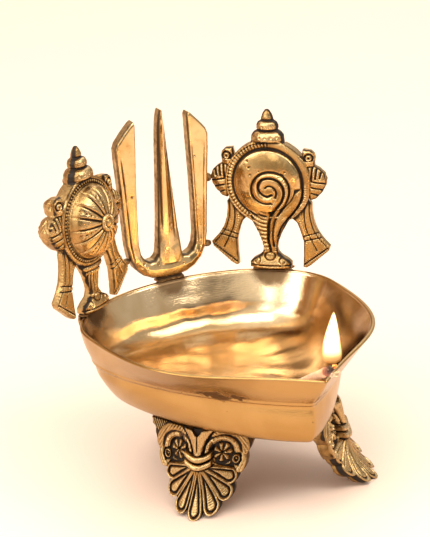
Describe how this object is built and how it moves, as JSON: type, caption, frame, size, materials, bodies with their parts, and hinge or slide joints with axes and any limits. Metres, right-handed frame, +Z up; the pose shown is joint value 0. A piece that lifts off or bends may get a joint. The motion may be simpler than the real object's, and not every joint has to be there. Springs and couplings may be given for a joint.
{
  "type": "diya oil lamp",
  "caption": "Brass oil lamp with a pointed leaf-shaped bowl on cast shell feet, holding a cotton wick in its spout, with disc, prong and shell emblems standing on the back rim.",
  "frame": {"origin": "on the table surface, under the middle of the lamp's bounding box", "axes": "+Z up, -Y towards the pointed spout, +X to the right when looking from the spout towards the emblems"},
  "size_m": [0.128, 0.1407, 0.1408],
  "materials": {
    "polished_brass": "polished",
    "cast_brass": "satin",
    "braze": "matte",
    "cotton": "matte"
  },
  "bodies": {
    "lamp": {"bowl": "polished_brass", "foot_front_left": "cast_brass", "foot_front_right": "cast_brass", "foot_back": "cast_brass", "foot_braze_front_left": "braze", "foot_braze_front_right": "braze", "foot_braze_back": "braze", "chakra_rim_lug": "cast_brass", "chakra_base_braze": "braze", "chakra_emblem": "cast_brass", "conch_rim_lug": "cast_brass", "conch_base_braze": "braze", "conch_emblem": "cast_brass", "namam_rim_lug": "cast_brass", "namam_base_braze": "braze", "namam_emblem": "polished_brass", "chakra_wing_braze": "braze", "chakra_ribbon_braze": "braze", "conch_wing_braze": "braze", "conch_ribbon_braze": "braze"},
    "wick": {"wick": "cotton"}
  },
  "joints": [
    {"name": "wick_advance", "type": "slide", "parent": "lamp", "child": "wick", "axis": [0, -0.866, 0.5], "range_m": [0, 0.01]}
  ]
}
